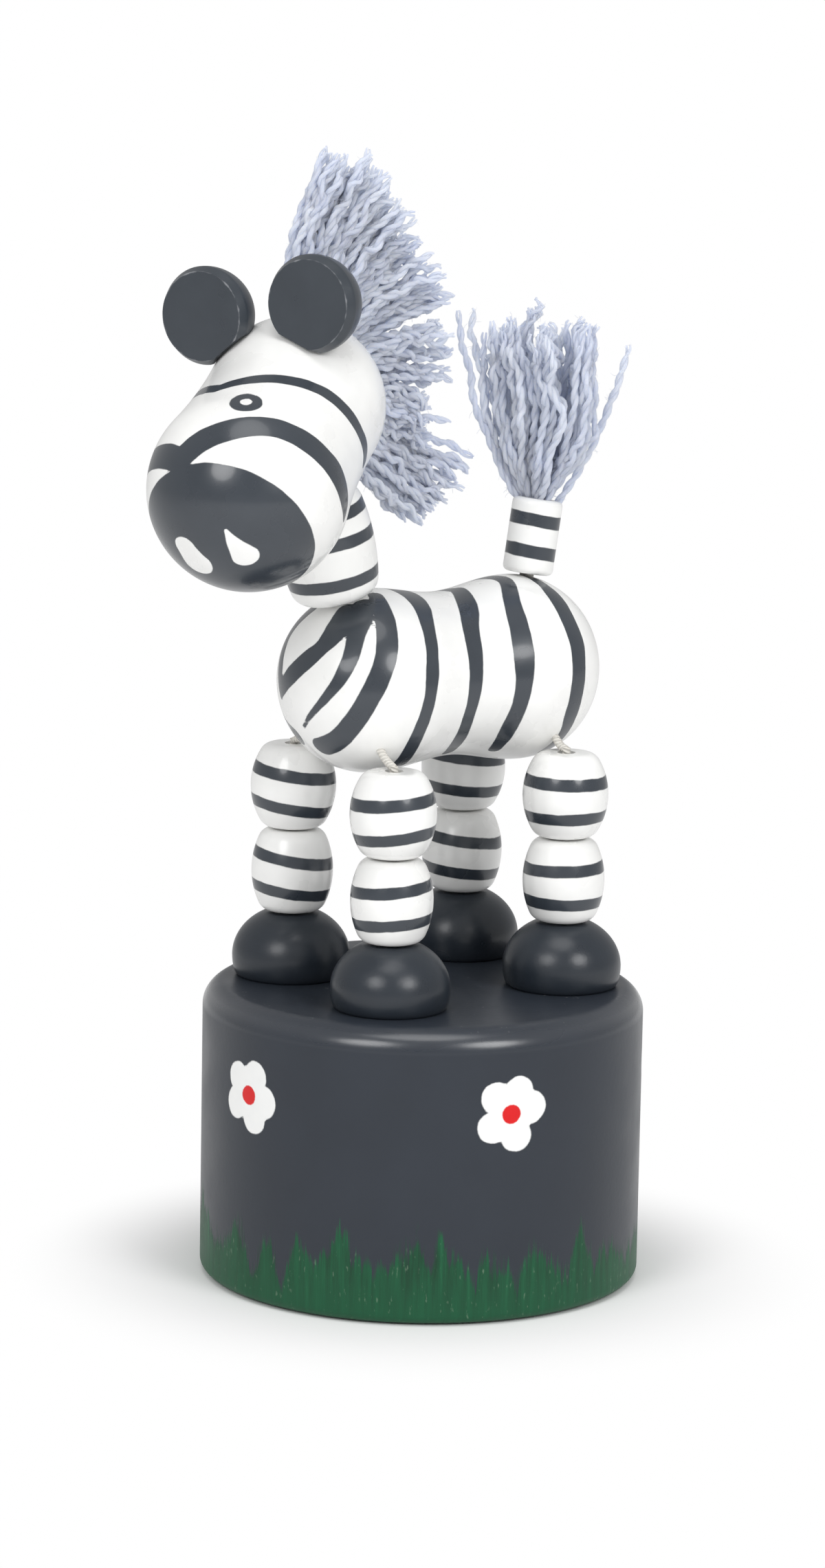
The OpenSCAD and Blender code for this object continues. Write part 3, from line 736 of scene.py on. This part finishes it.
def head_outline(grow=0.0, count=1.0):
    """Cranium and muzzle spheres with a hollow waist that touches both."""
    a, b, w = cranium_r + grow, muzzle_r + grow, head_waist - grow
    far_a, far_b = a + w, b + w
    z = (head_reach ** 2 + far_a ** 2 - far_b ** 2) / (2 * head_reach)
    x = math.sqrt(far_a ** 2 - z * z)
    low, high = math.degrees(math.atan2(z, x)), math.degrees(math.atan2(z - head_reach, x))
    return ([(0, -a)] + arc((0, 0), a, -90, low, int(90 * count))[1:]
            + arc((x, z), w, 180 + low, 180 + high, int(16 * count))[1:]
            + arc((0, head_reach), b, high, 90, int(80 * count))[1:-1] + [(0, head_reach + b)])


head_shape = head_outline()
head = turn_on_lathe("head_turned", head_shape, head_place, 240)
neck_way = Vector((0, -math.sin(math.radians(neck_lean)), math.cos(math.radians(neck_lean))))
drill(head, neck_foot, neck_way, neck_h + seat_deep, neck_d + 2 * seat_gap)


def on_head(mark):
    """A painted point on the head: degrees from the forehead to the left, and distance from the cranium."""
    a, s = math.radians(mark[0]), mark[1]
    r = np.interp(s, [p[1] for p in head_shape], [p[0] for p in head_shape])
    return (r * math.sin(a), r * math.cos(a), s) + tuple(mark[2:])


def other_half(marks):
    """A stripe's other half, mirrored about its first point."""
    return [(2 * marks[0][0] - a, s, half) for a, s, half in marks]


brow = [(-8, 9.8), (9, 8.6), (22, 7.7), (39, 6.7), (56, 5.9), (74, 5.5), (92, 5.3), (107, 5.1), (116, 5.4)]
brow = [(a, s, 0.74) for a, s in brow]
cheek = [(-15, 20.0, 1.4), (-4, 19.0, 1.4), (8, 17.9, 1.35), (26, 16.25, 1.3), (41, 15.05, 1.25),
         (56, 14.4, 1.3), (72, 14.0, 1.35), (87, 13.75, 1.4), (100, 13.9, 1.2), (108, 14.1, 0.9),
         (117, 14.6, 0.2)]
bridge = [(-19, 9.5, 0.45), (-12, 9.5, 0.45)]
eyes, eye_r, eye_light_r = ((18, 12.7), (-50, 12.7)), 1.72, 0.62
# Nostrils across the front of the muzzle: the blunt end, the tip and the half widths of both.
nostrils = [((3.15, -0.9), (2.35, 2.4), 1.42, 0.2), ((-2.55, -1.2), (-3.1, 0.65), 1.75, 1.35)]
muzzle_line, muzzle_dip, muzzle_slope, muzzle_front, seat_edge = 19.9, 0.75, 1.2, 20, 0.05
spot = points_of(head, head_place)
turn = np.arctan2(spot[:, 0], spot[:, 1])
distance = muzzle_slope * (muzzle_line + muzzle_dip * np.cos(turn) - spot[:, 2])
for marks in (brow, other_half(brow), cheek, other_half(cheek), bridge):
    distance = np.minimum(distance, brush_line(spot, run_through([on_head(m) for m in marks])))
light = np.full(len(spot), unpainted)
for eye in eyes:
    far = np.linalg.norm(spot - np.array(on_head(eye)), axis=1)
    distance = np.minimum(distance, far - eye_r)
    light = np.minimum(light, far - eye_light_r)
for blunt, tip, wide, point in nostrils:
    nostril = capsule(spot[:, :2], blunt, tip, wide, point)
    light = np.minimum(light, np.where(spot[:, 2] > muzzle_front, nostril, unpainted))
seat = spot - np.array(head_place.inverted() @ Vector(neck_foot))
way = np.array(head_place.to_3x3().inverted() @ neck_way)
up = seat @ way
in_seat = np.linalg.norm(seat - up[:, None] * way, axis=1) < neck_d / 2 + seat_gap - seat_edge
in_seat &= (up > 0) & (up < neck_h + seat_deep + 2 * seat_edge)
paint_on(head, "stripe", np.where(in_seat, unpainted, np.maximum(distance, -light)))
cover(head, zebra_paint)
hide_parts("head")
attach(head, "head")

# The ears: two turned buttons with flat fronts and rounded backs, sanded to the head and glued on, in slate
# paint with a pale band on the rim that is rubbed paint and a painted highlight.
ear_x, ear_y, ear_z, ear_flat, ear_twist = 6.4, -3.1, 10.6, 4.35, -2
ear_r, ear_t, ear_rim, ear_face_r, ear_ring = 5.2, 6.2, 1.0, 4.7, 3.5
sand_deep, sand_wide, glue_gap, worn_highlight_out, worn_highlight_wide = 5, 24, 0.05, 0.05, 0.02
# A lighter copy of the feet's slate: the lightness is painted light.
ear_paint_lit = slate_material("ear_paint_lit", (0.038, 0.046, 0.057, 1))
cup = [(ear_r * math.sin(a), (ear_t - ear_rim) * (1 - math.cos(a))) for a in np.linspace(0, math.pi / 2, 30)]
cup = fine([(0, 0)] + cup[1:] + [(ear_face_r, ear_t)], 0.25) + [(ear_ring, ear_t), (0, ear_t)]
for side, name in ((1, "left"), (-1, "right")):
    middle = Vector((side * ear_x, ear_y, ear_z))
    place = (Matrix.Translation(head_c) @ head_turn @ Matrix.Translation(middle) @ turned(ear_twist, "Z")
             @ turned(90, "X") @ Matrix.Translation((0, 0, -ear_t / 2)))
    ear = turn_on_lathe(f"ear_{name}_turned", cup, place)
    cut_away(ear, turn_on_lathe("head_blank", head_outline(glue_gap, 0.6), head_place, 120))
    inward = Vector((-side * ear_x, 0, -ear_z)).normalized()
    sanded = head_c + head_turn @ (middle + ear_flat * inward)
    drill(ear, sanded, head_turn.to_3x3() @ inward, sand_deep, sand_wide)
    spot = points_of(ear, place)
    # The pale band round the face's rim: rubbed paint with a painted highlight.
    rim = np.hypot(np.hypot(spot[:, 0], spot[:, 1]) - ear_face_r - worn_highlight_out, spot[:, 2] - ear_t)
    paint_on(ear, "edge", rim - worn_highlight_wide)
    cover(ear, ear_paint_lit)
    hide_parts(f"ear_{name}")
    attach(ear, "head")

# The tail: a small turned bead with two brushed rings that stands on the rump. The rear pair of strings ends
# in its bore, which also holds the tuft.
tail_foot, tail_lean, tail_h = Vector((-1, 13.5, 75.852)), 9, 8.2
tail_r, tail_bore_r, tail_rim = 2.75, 1.5, 0.6
tail_place = Matrix.Translation(tail_foot) @ turned(-tail_lean, "X")
tail = turn_on_lathe(
    "tail_turned",
    [(tail_bore_r, 0)] + arc((tail_r - tail_rim, tail_rim), tail_rim, -90, 0, 8)
    + fine([(tail_r, tail_rim), (tail_r, tail_h - tail_rim)], 0.3)[1:]
    + arc((tail_r - tail_rim, tail_h - tail_rim), tail_rim, 0, 90, 8)[1:] + [(tail_bore_r, tail_h)],
    tail_place, 80, ring=True)
ring_paint(tail, tail_place, ((2.46, 1.4, 3, 55), (5.9, 1.4, 3, 55)))
cover(tail, zebra_paint)
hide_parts("tail_bead")
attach(tail, "tail")

# The mane and the tail's tuft: lengths of pale two ply wool, glued in locks along the back of the head and
# in the bore of the tail bead, cut unevenly, crimped and a little frayed.
yarn_tree = bpy.data.node_groups.new("two_ply_yarn", "GeometryNodeTree")
yarn_tree.interface.new_socket("Geometry", in_out="INPUT", socket_type="NodeSocketGeometry")
for name, kind, value in (
        ("Ply Radius", "Float", 0.00028), ("Ply Offset", "Float", 0.0002), ("Twist", "Float", 270.0),
        ("Fray", "Float", 0.1), ("Points", "Int", 37), ("Sides", "Int", 5), ("Fuzz", "Float", 3.7e5),
        ("Fuzz Radius", "Float", 0.000022), ("Seed", "Int", 3)):
    socket = yarn_tree.interface.new_socket(name, in_out="INPUT", socket_type=f"NodeSocket{kind}")
    socket.default_value = value
yarn_tree.interface.new_socket("Wool", in_out="INPUT", socket_type="NodeSocketMaterial")
yarn_tree.interface.new_socket("Geometry", in_out="OUTPUT", socket_type="NodeSocketGeometry")
tree = yarn_tree
given = add_node(tree, "NodeGroupInput").outputs
line = add_node(tree, "GeometryNodeMeshToCurve", {"Mesh": given["Geometry"]}).outputs[0]
even = add_node(tree, "GeometryNodeResampleCurve", {"Curve": line, "Count": given["Points"]}).outputs[0]
where = add_node(tree, "GeometryNodeSplineParameter").outputs
own = add_node(tree, "GeometryNodeInputNamedAttribute", {"Name": "shade"}, data_type="FLOAT").outputs[0]
out = add_node(tree, "GeometryNodeInputNormal").outputs[0]
over = vector_sum(tree, "CROSS_PRODUCT", {0: add_node(tree, "GeometryNodeInputTangent").outputs[0], 1: out})
end = work_out(tree, "POWER", where["Factor"], 12.0)
flare = work_out(tree, "MULTIPLY_ADD", end, given["Fray"], 1.0)
spread = work_out(tree, "MULTIPLY", flare, given["Ply Offset"])
taper = work_out(tree, "MULTIPLY_ADD", end, -0.6, 1.0)
first_turn = work_out(tree, "MULTIPLY", own, 40.0)
phase = work_out(tree, "MULTIPLY_ADD", where["Length"], given["Twist"], first_turn)
phase = work_out(tree, "MULTIPLY", phase, 2 * math.pi)
ply_ring = {"Resolution": given["Sides"], "Radius": given["Ply Radius"]}
section = add_node(tree, "GeometryNodeCurvePrimitiveCircle", ply_ring).outputs[0]
yarns = add_node(tree, "GeometryNodeJoinGeometry")
for ply in (0.0, math.pi):
    turn = work_out(tree, "ADD", phase, ply)
    a = vector_sum(tree, "SCALE", {0: out, "Scale": work_out(tree, "COSINE", turn)})
    b = vector_sum(tree, "SCALE", {0: over, "Scale": work_out(tree, "SINE", turn)})
    shift = vector_sum(tree, "SCALE", {0: vector_sum(tree, "ADD", {0: a, 1: b}), "Scale": spread})
    wound = add_node(tree, "GeometryNodeSetPosition", {"Geometry": even, "Offset": shift}).outputs[0]
    spun = {"Curve": wound, "Profile Curve": section, "Scale": taper, "Fill Caps": True}
    tree.links.new(add_node(tree, "GeometryNodeCurveToMesh", spun).outputs[0], yarns.inputs[0])
scatter = {"Mesh": yarns.outputs[0], "Density": given["Fuzz"], "Seed": given["Seed"]}
stubs = add_node(tree, "GeometryNodeDistributePointsOnFaces", scatter).outputs["Points"]
hair_bend = {"Resolution": 3, "Start": (0, 0, 0), "Middle": (0, 0, 0.0005), "End": (0.0006, 0, 0.0008)}
curl = add_node(tree, "GeometryNodeCurveQuadraticBezier", hair_bend).outputs[0]
hair_ring = {"Resolution": 3, "Radius": given["Fuzz Radius"]}
thin = add_node(tree, "GeometryNodeCurvePrimitiveCircle", hair_ring).outputs[0]
hair = add_node(tree, "GeometryNodeCurveToMesh", {"Curve": curl, "Profile Curve": thin}).outputs[0]
turns = {0: (-3.1, -3.1, -3.1), 1: (3.1, 3.1, 3.1), "Seed": 5}
any_way = add_node(tree, "FunctionNodeRandomValue", turns, data_type="FLOAT_VECTOR").outputs[0]
lengths = {2: 0.3, 3: 0.95, "Seed": 8}
any_size = add_node(tree, "FunctionNodeRandomValue", lengths, data_type="FLOAT").outputs[1]
planted = {"Points": stubs, "Instance": hair, "Rotation": any_way, "Scale": any_size}
fuzz = add_node(tree, "GeometryNodeInstanceOnPoints", planted).outputs[0]
both = add_node(tree, "GeometryNodeJoinGeometry")
for part in (yarns.outputs[0], fuzz):
    tree.links.new(part, both.inputs[0])
real = add_node(tree, "GeometryNodeRealizeInstances", {0: both.outputs[0]}).outputs[0]
wool_on = add_node(tree, "GeometryNodeSetMaterial", {"Geometry": real, "Material": given["Wool"]})
add_node(tree, "NodeGroupOutput", {"Geometry": wool_on.outputs[0]})

wool, tree = new_material("pale_wool")
spot = object_place(tree)
fibre = noise(tree, spot, 3800.0, 3.0)
tone = work_out(tree, "MULTIPLY_ADD", attribute(tree, "shade"), 0.45, noise(tree, spot, 300.0, 2.0))
blue = ramp(tree, tone, [(0.35, (0.68, 0.73, 0.88, 1)), (0.95, (0.87, 0.90, 0.97, 1))])
colour = mix(tree, fibre, blue, (0.88, 0.91, 0.97, 1))
bump = add_node(tree, "ShaderNodeBump", {"Height": fibre, "Strength": 0.3, "Distance": 0.0001}).outputs[0]
skin = add_node(tree, "ShaderNodeBsdfPrincipled", {
    "Base Color": colour, "Roughness": rescale(tree, fibre, 0, 1, 0.8, 1.0), "Normal": bump,
    "Sheen Weight": 0.3, "Sheen Roughness": 0.5, "Specular IOR Level": 0.2,
    "Subsurface Weight": 0.5, "Subsurface Radius": (0.7, 0.8, 1.0), "Subsurface Scale": 0.0008,
})
lit_through = add_node(tree, "ShaderNodeBsdfTranslucent", {"Color": colour, "Normal": bump})
both = add_node(tree, "ShaderNodeMixShader", {0: 0.5, 1: skin.outputs[0], 2: lit_through.outputs[0]})
add_node(tree, "ShaderNodeOutputMaterial", {"Surface": both.outputs[0]})


def spin_yarn(name, strands, shades, values={}):
    """Makes two ply yarn along each strand of points in millimetres and gives the plain mesh object."""
    points, edges, shade = [], [], []
    for strand, tone in zip(strands, shades):
        first = len(points)
        points += [tuple(np.asarray(p) * 0.001) for p in strand]
        shade += [tone] * len(strand)
        edges += [(k, k + 1) for k in range(first, len(points) - 1)]
    mesh = bpy.data.meshes.new(name)
    mesh.from_pydata(points, edges, [])
    layer = mesh.attributes.new("shade", "FLOAT", "POINT")
    layer.data.foreach_set("value", np.array(shade, np.float32))
    piece = add_object(name, mesh)
    wheel = piece.modifiers.new("wheel", "NODES")
    wheel.node_group = yarn_tree
    sockets = {s.name: s.identifier for s in yarn_tree.interface.items_tree if s.in_out == "INPUT"}
    for key, value in dict(values, Wool=wool).items():
        wheel[sockets[key]] = value
    whole = bpy.context.evaluated_depsgraph_get()
    yarn = bpy.data.meshes.new_from_object(piece.evaluated_get(whole))
    piece.modifiers.remove(wheel)
    piece.data = yarn
    yarn.shade_smooth()
    return piece


strand_points = 30


def wander(rng, size):
    """A smooth sideways wander along a strand, nothing at its root."""
    t = np.linspace(0, 1, strand_points)
    out = np.zeros((strand_points, 3))
    for wave in (1.3, 2.9, 5.3, 8.1):
        out += rng.normal(size=3) * np.sin(2 * np.pi * (wave * t + rng.random()))[:, None] / wave ** 0.5
    return size * (out - out[0]) * t[:, None] ** 0.7


def bow(root, middle, tip):
    """A strand that leaves its root towards the middle point and ends at the tip."""
    t = np.linspace(0, 1, strand_points)[:, None]
    return np.array(root) * (1 - t) ** 2 + 2 * np.array(middle) * t * (1 - t) + np.array(tip) * t ** 2


# The mane's locks: bearing of the tip above the level towards the rear, its reach from the middle of the
# cranium, and how many strands.
mane_locks = [
    (84, 24.5, 1), (79.5, 27.4, 7), (77, 27.2, 8), (73.5, 26.2, 7), (70, 28.1, 8), (66, 28.0, 7),
    (62.5, 26.2, 7), (59, 24.9, 7), (55, 24.9, 7), (50.5, 23.3, 7), (46, 23.9, 7), (41.5, 22.4, 7),
    (36, 23.4, 7), (31, 23.4, 7), (25.5, 24.2, 6), (20, 21.4, 6), (15, 18.5, 4), (12, 21.9, 4),
    (8.5, 20.2, 4), (4, 21.4, 3), (1, 17.6, 5), (-5, 17.4, 6), (-10, 18, 6), (-12, 21, 1), (-14.5, 25.4, 1),
    (-16, 19.5, 4), (-19.5, 24.9, 6), (-24, 24.6, 8), (-29, 23.5, 8), (-34, 23.8, 8), (-39, 22.4, 6),
]
root_r, root_side, root_spread, root_jitter, lowest = 9.2, -2.3, 1.12, 3, -38
tip_side, tip_jitter, shortest, stand_off, crimp = -1.2, 1.1, 0.92, 0.45, 0.4
lock_share, own_share, root_lean, tip_lean = 0.5, 0.45, 0.9, 2.3
rng = np.random.default_rng(11)
strands, shades = [], []
for tip_a, tip_r, in_lock in mane_locks:
    lock_lean = rng.uniform(-1, 1)
    for k in range(in_lock):
        root_a = lowest + root_spread * (tip_a - lowest) + rng.uniform(-root_jitter, root_jitter)
        a = math.radians(root_a)
        lean = lock_share * lock_lean + own_share * rng.uniform(-1, 1)
        side = root_side * math.cos(a) + root_lean * lean
        root = np.array((side, root_r * math.cos(a), root_r * math.sin(a)))
        a = math.radians(tip_a + rng.normal(0, tip_jitter))
        reach = tip_r * rng.uniform(shortest, 1.0)
        tip = np.array((tip_side + tip_lean * lean, reach * math.cos(a), reach * math.sin(a)))
        middle = root * (1 + stand_off * np.linalg.norm(tip - root) / np.linalg.norm(root))
        strands.append(np.array(head_c) + bow(root, middle, tip) + wander(rng, crimp))
        shades.append(rng.random())
mane = spin_yarn("mane_yarn", strands, shades)
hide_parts("mane_tuft")
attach(mane, "head")

tail_way = tail_place.to_3x3() @ Vector((0, 0, 1))
tail_top = np.array(tail_foot + tail_h * tail_way)
# The tuft's swell as height above the bead and share of its full width, then stray strands by their tips.
swell = [(-2.2, 0.11), (0, 0.14), (2, 0.37), (4.5, 0.61), (9, 0.83), (12.5, 0.90), (16, 0.96), (20, 1.0)]
strays = [(5.2, 7.5, 16.4), (-4.1, -5.9, 20.4), (-4.9, -6.9, 19.4), (6.2, 0.6, 17.6), (-4.5, 5.2, 17.0)]
strands, shades = [], []
locks, in_lock, tuft_r, lock_r, root_z, golden = 10, 6, 6.7, 1.9, -2.2, 2.39996
lock_low, lock_high, shortest, gather, lock_sway, own_sway = 18.0, 20.3, 0.94, 0.6, 0.5, 0.3
stray_root, stray_belly, stray_rise = 0.1, 0.9, 8
for i in range(locks):
    middle = tuft_r * math.sqrt((i + 0.5) / locks) * np.array((math.cos(golden * i), math.sin(golden * i)))
    lock_tall = rng.uniform(lock_low, lock_high)
    sway = wander(rng, lock_sway)
    for k in range(in_lock):
        turn, far = golden * k + rng.random(), lock_r * math.sqrt((k + 0.5) / in_lock)
        up = np.linspace(root_z, lock_tall * rng.uniform(shortest, 1.0), strand_points)
        wide = np.interp(up, *zip(*swell))
        close = far * (1 - gather * np.clip(up / lock_tall, 0, 1) ** 2)
        x, y = middle[0] + close * math.cos(turn), middle[1] + close * math.sin(turn)
        line = np.stack([wide * x, wide * y, up], axis=1)
        strands.append(tail_top + line + sway + wander(rng, own_sway))
        shades.append(rng.random())
for x, y, z in strays:
    root, belly = (stray_root * x, stray_root * y, root_z), (stray_belly * x, stray_belly * y, stray_rise)
    strands.append(tail_top + bow(root, belly, (x, y, z)) + wander(rng, crimp))
    shades.append(rng.random())
tuft = spin_yarn("tail_yarn", strands, shades, {"Points": 48, "Fuzz": 8.0e5})
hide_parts("tail_tuft")
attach(tuft, "tail")

# The strings: four lengths of cotton twine from knots under the button, up through drum, feet and beads into
# the torso. The front pair goes on through the neck to the peg in the head, the rear pair to the tail's bore.
cotton, tree = new_material("cotton_string")
along = add_node(tree, "ShaderNodeUVMap", uv_map="along").outputs[0]
twist = add_node(tree, "ShaderNodeSeparateXYZ", {0: along}).outputs
lay = work_out(tree, "MULTIPLY_ADD", twist["Y"], 1.1, twist["X"])
strand = work_out(tree, "SINE", work_out(tree, "MULTIPLY", lay, 4 * math.pi))
fuzz = noise(tree, object_place(tree), 4000.0, 3.0)
colour = mix(tree, fuzz, (0.74, 0.71, 0.65, 1), (0.88, 0.86, 0.81, 1))
# Darker in the grooves of the twist: painted shade between the plies.
colour = mix(tree, 1.0, colour, rescale(tree, strand, -1, 1, 0.75), "MULTIPLY")
relief = work_out(tree, "MULTIPLY_ADD", fuzz, 0.5, strand)
finish_surface(tree, colour, rescale(tree, fuzz, 0, 1, 0.8), relief, 0.6, 0.0001)


def lay_string(name, route, body, onto=None):
    """A stretch of string in millimetres that rides on one body, or runs from one body onto the next and
    rides on neither.
    """
    piece = tube(name, fine([tuple(p) for p in route], 0.5), string_r)
    cover(piece, cotton)
    if onto:
        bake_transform(piece)
    else:
        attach(piece, body)
    return piece


string_r, apart, bend, dip, peg_deep, tail_deep = 0.45, 0.55, 0.4, 3.0, 5.5, 3.2
lift_low, lift_high, foot_in, shin_in, thigh_in = 7.4, 32.5, 33.0, 43.5, 53.0
ankle_z, knee_z, hip_z, thigh_lap, hip_lap, hip_a = 39.0, 48.3, 57.6, 0.5, 0.2, math.radians(42)
for leg, (x, y) in legs.items():
    shin, thigh = f"shin_{leg}", f"thigh_{leg}"
    low = lay_string(f"string_{leg}_lift", [(x, y, lift_low), (x, y, lift_high)], "button")
    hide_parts(f"string_{leg}")
    lay_string(f"string_{leg}_ankle", [(x, y, foot_in), (x, y, shin_in)], "base", shin)
    lay_string(f"string_{leg}_knee", [(x, y, shin_in), (x, y, thigh_in)], shin, thigh)
    lay_string(f"string_{leg}_thigh", [(x, y, thigh_in), (x, y, hip_z + thigh_lap)], thigh)
    side = 1 if x > mid_x else -1
    r = torso_radius(y - torso_y)
    hole = (mid_x + side * r * math.cos(hip_a), y, torso_z - r * math.sin(hip_a))
    heart = (mid_x + side * apart, y, torso_z)
    lay_string(f"string_{leg}_hip", run_through([(x, y, hip_z + hip_lap), hole, heart], 8), "torso")
for side, name in ((1, "left"), (-1, "right")):
    x = mid_x + side * apart
    base, way = np.array(neck_foot) + (side * apart, 0, 0), np.array(neck_way)
    half_way = base + neck_h / 2 * way
    lay_string(f"string_front_{name}_shoulder",
               run_through([(x, front_y, torso_z), base - dip * way, half_way], 8),
               "torso", "neck")
    lay_string(f"string_front_{name}_nape", [half_way, base + (neck_h + peg_deep) * way], "neck", "head")
    base, way = np.array(tail_foot) + (side * apart, 0, 0), np.array(tail_way)
    lay_string(f"string_rear_{name}_dock",
               run_through([(x, rear_y, torso_z), base - dip * way, base + tail_deep * way], 8),
               "torso", "tail")

# The knots: an overhand knot at the foot of each string, tied in the same twine under the button and drawn
# tight into its pocket.
knot_z, knot_r, knot_wide, knot_wave, knot_tall, knot_steps = 6.35, 0.42, 0.55, 0.27, 0.42, 56
knots = []
for leg, (x, y) in legs.items():
    route = []
    for a in np.linspace(0, 2 * math.pi, knot_steps + 1):
        wide = knot_wide + knot_wave * math.cos(3 * a)
        z = knot_z + knot_tall * math.sin(3 * a)
        route.append((x + wide * math.cos(2 * a), y + wide * math.sin(2 * a), z))
    knots.append(tube(f"knot_{leg}", route, knot_r))
    cover(knots[-1], cotton)
    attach(knots[-1], "button")
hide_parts("string_knots")
